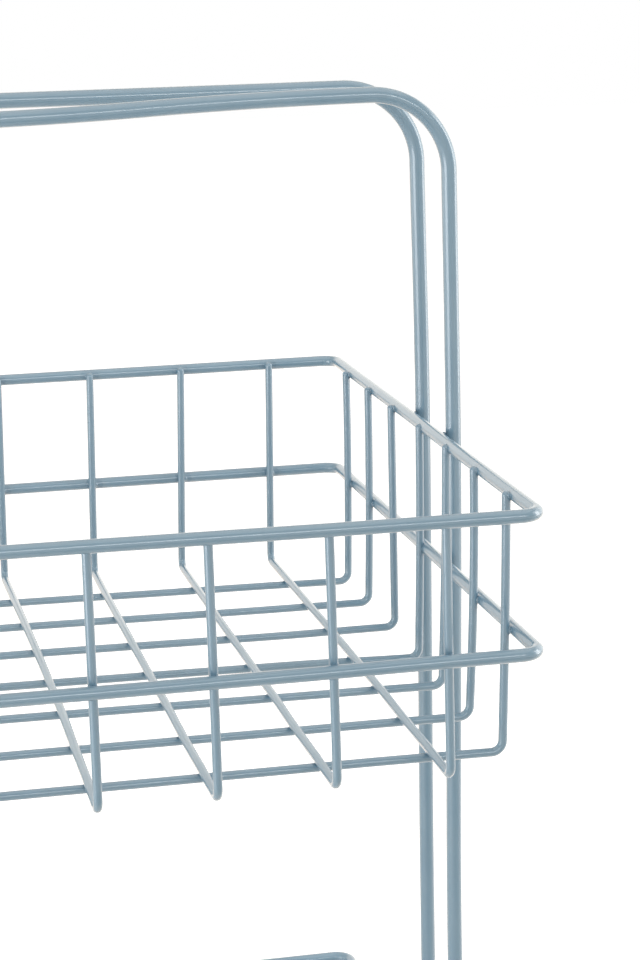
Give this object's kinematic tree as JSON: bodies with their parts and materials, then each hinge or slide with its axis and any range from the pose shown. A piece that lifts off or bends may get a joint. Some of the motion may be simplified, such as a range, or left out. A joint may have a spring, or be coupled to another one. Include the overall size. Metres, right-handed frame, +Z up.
{
  "type": "tiered wire basket",
  "caption": "Free-standing tiers of open rectangular wire baskets, welded inside tall inverted-U wire hoops that are both legs and carrying handle, for storing and carrying small things.",
  "frame": {"origin": "centre of the footprint, on the surface that the stand rests on", "axes": "+Z up, +X to the right seen from the front, towards one pair of hoop legs, +Y to the back"},
  "size_m": [0.4006, 0.3146, 0.5123],
  "materials": {
    "powder_coat": "satin light grey-blue powder coat"
  },
  "bodies": {
    "root": {"back_hoop": "powder_coat", "front_hoop": "powder_coat", "lower_basket_front_to_back_wire_1": "powder_coat", "lower_basket_front_to_back_wire_2": "powder_coat", "lower_basket_front_to_back_wire_3": "powder_coat", "lower_basket_front_to_back_wire_4": "powder_coat", "lower_basket_front_to_back_wire_5": "powder_coat", "lower_basket_front_to_back_wire_6": "powder_coat", "lower_basket_front_to_back_wire_7": "powder_coat", "lower_basket_front_to_back_wire_8": "powder_coat", "lower_basket_front_to_back_wire_9": "powder_coat", "lower_basket_middle_rim": "powder_coat", "lower_basket_side_to_side_wire_1": "powder_coat", "lower_basket_side_to_side_wire_2": "powder_coat", "lower_basket_side_to_side_wire_3": "powder_coat", "lower_basket_side_to_side_wire_4": "powder_coat", "lower_basket_side_to_side_wire_5": "powder_coat", "lower_basket_side_to_side_wire_6": "powder_coat", "lower_basket_side_to_side_wire_7": "powder_coat", "lower_basket_top_rim": "powder_coat", "upper_basket_front_to_back_wire_1": "powder_coat", "upper_basket_front_to_back_wire_2": "powder_coat", "upper_basket_front_to_back_wire_3": "powder_coat", "upper_basket_front_to_back_wire_4": "powder_coat", "upper_basket_front_to_back_wire_5": "powder_coat", "upper_basket_front_to_back_wire_6": "powder_coat", "upper_basket_front_to_back_wire_7": "powder_coat", "upper_basket_front_to_back_wire_8": "powder_coat", "upper_basket_front_to_back_wire_9": "powder_coat", "upper_basket_middle_rim": "powder_coat", "upper_basket_side_to_side_wire_1": "powder_coat", "upper_basket_side_to_side_wire_2": "powder_coat", "upper_basket_side_to_side_wire_3": "powder_coat", "upper_basket_side_to_side_wire_4": "powder_coat", "upper_basket_side_to_side_wire_5": "powder_coat", "upper_basket_side_to_side_wire_6": "powder_coat", "upper_basket_side_to_side_wire_7": "powder_coat", "upper_basket_top_rim": "powder_coat"}
  },
  "joints": []
}
